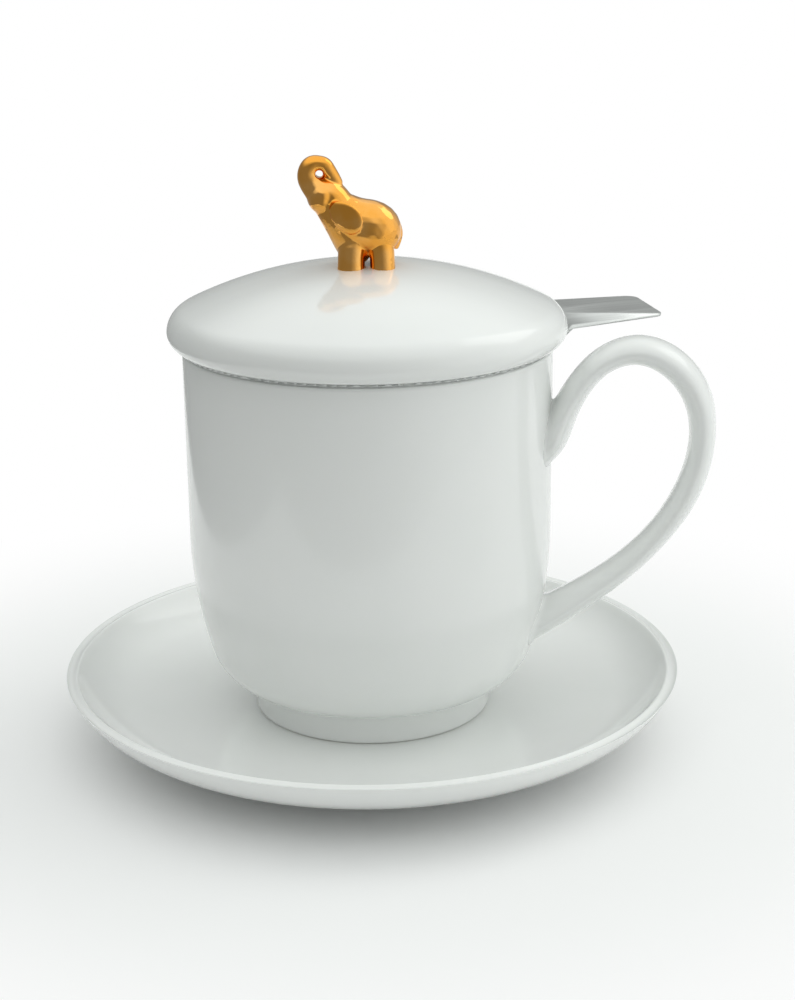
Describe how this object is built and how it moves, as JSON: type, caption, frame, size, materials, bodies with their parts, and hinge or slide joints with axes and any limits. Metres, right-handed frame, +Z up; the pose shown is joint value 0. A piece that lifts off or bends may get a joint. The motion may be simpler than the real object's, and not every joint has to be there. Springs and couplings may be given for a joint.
{
  "type": "lidded tea mug with infuser and saucer",
  "caption": "Tea mug on a saucer, with a drop-in perforated steel basket that hangs on the rim and a domed lid that lifts off by an elephant knob.",
  "frame": {"origin": "centre of the saucer's foot ring, on the plane that it stands on", "axes": "+Z up along the common axis of saucer, mug, infuser and lid; +X towards the mug's handle"},
  "size_m": [0.1568, 0.15, 0.1417],
  "materials": {
    "white_china": "clear glazed white bone china",
    "infuser_steel": "satin stainless steel sheet",
    "gilt_china": "bright gold lustre over glazed china"
  },
  "bodies": {
    "saucer": {"saucer": "white_china"},
    "mug": {"mug_body": "white_china", "mug_handle": "white_china"},
    "infuser": {"infuser_rim": "infuser_steel", "infuser_wall": "infuser_steel", "infuser_base": "infuser_steel"},
    "lid": {"lid_shell": "white_china", "lid_finial": "gilt_china"}
  },
  "joints": [
    {"name": "mug_lift", "type": "slide", "parent": "saucer", "child": "mug", "axis": [0, 0, 1], "range_m": [0, 0.05]},
    {"name": "infuser_lift", "type": "slide", "parent": "mug", "child": "infuser", "axis": [0, 0, 1], "range_m": [0, 0.09]},
    {"name": "lid_lift", "type": "slide", "parent": "infuser", "child": "lid", "axis": [0, 0, 1], "range_m": [0, 0.06]}
  ]
}
